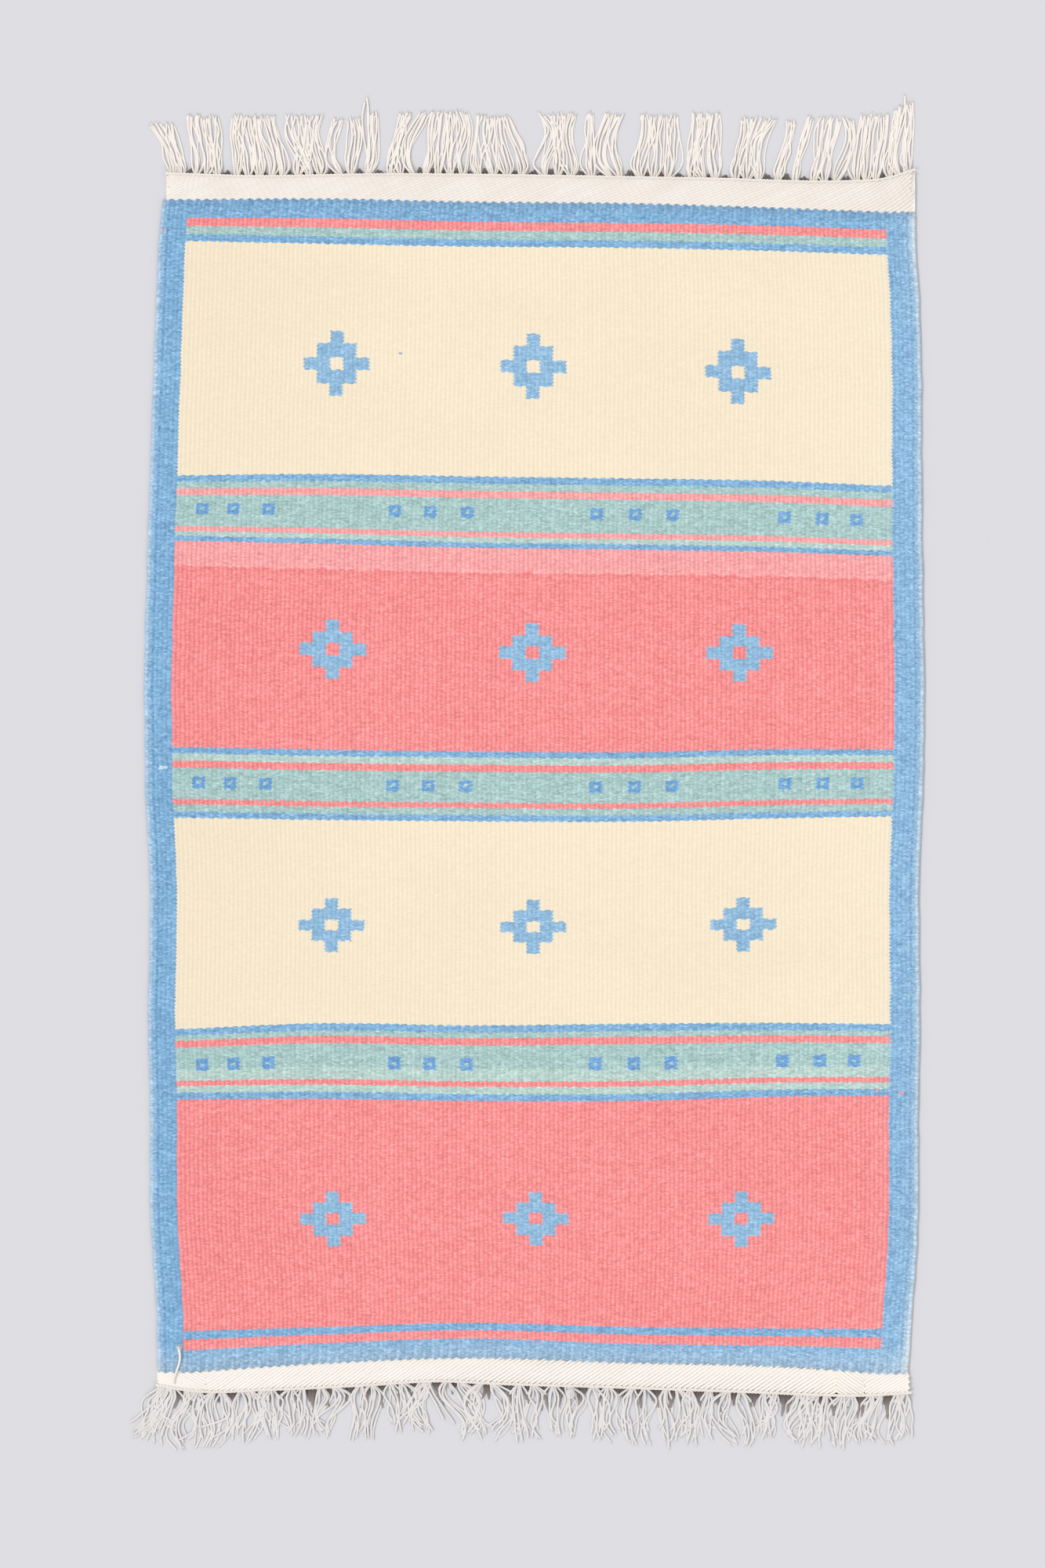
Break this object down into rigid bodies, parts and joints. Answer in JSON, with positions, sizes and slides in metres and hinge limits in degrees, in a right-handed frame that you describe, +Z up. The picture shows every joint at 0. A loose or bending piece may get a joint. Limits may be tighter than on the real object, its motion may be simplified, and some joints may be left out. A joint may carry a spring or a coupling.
{
  "type": "kilim rug",
  "caption": "Small flat-woven rug with blue side borders, banded and patterned fields, plaited headings and a knotted fringe at both ends, lying flat.",
  "frame": {"origin": "middle of the underside, on the surface that the rug lies on", "axes": "+X across the width, +Y along the length towards the far fringe, +Z up out of the patterned face"},
  "size_m": [0.6092, 1.0416, 0.005],
  "materials": {
    "woven_cloth": "matt ribbed cotton flat weave in cream, pink, blue and sage green",
    "plaited_heading": "matt plaited off-white cotton",
    "fringe_yarn": "matt twisted off-white cotton yarn"
  },
  "bodies": {
    "root": {"cloth": "woven_cloth", "heading_far": "plaited_heading", "heading_near": "plaited_heading", "fringe_far": "fringe_yarn", "fringe_near": "fringe_yarn", "stray_end": "fringe_yarn"}
  },
  "joints": []
}
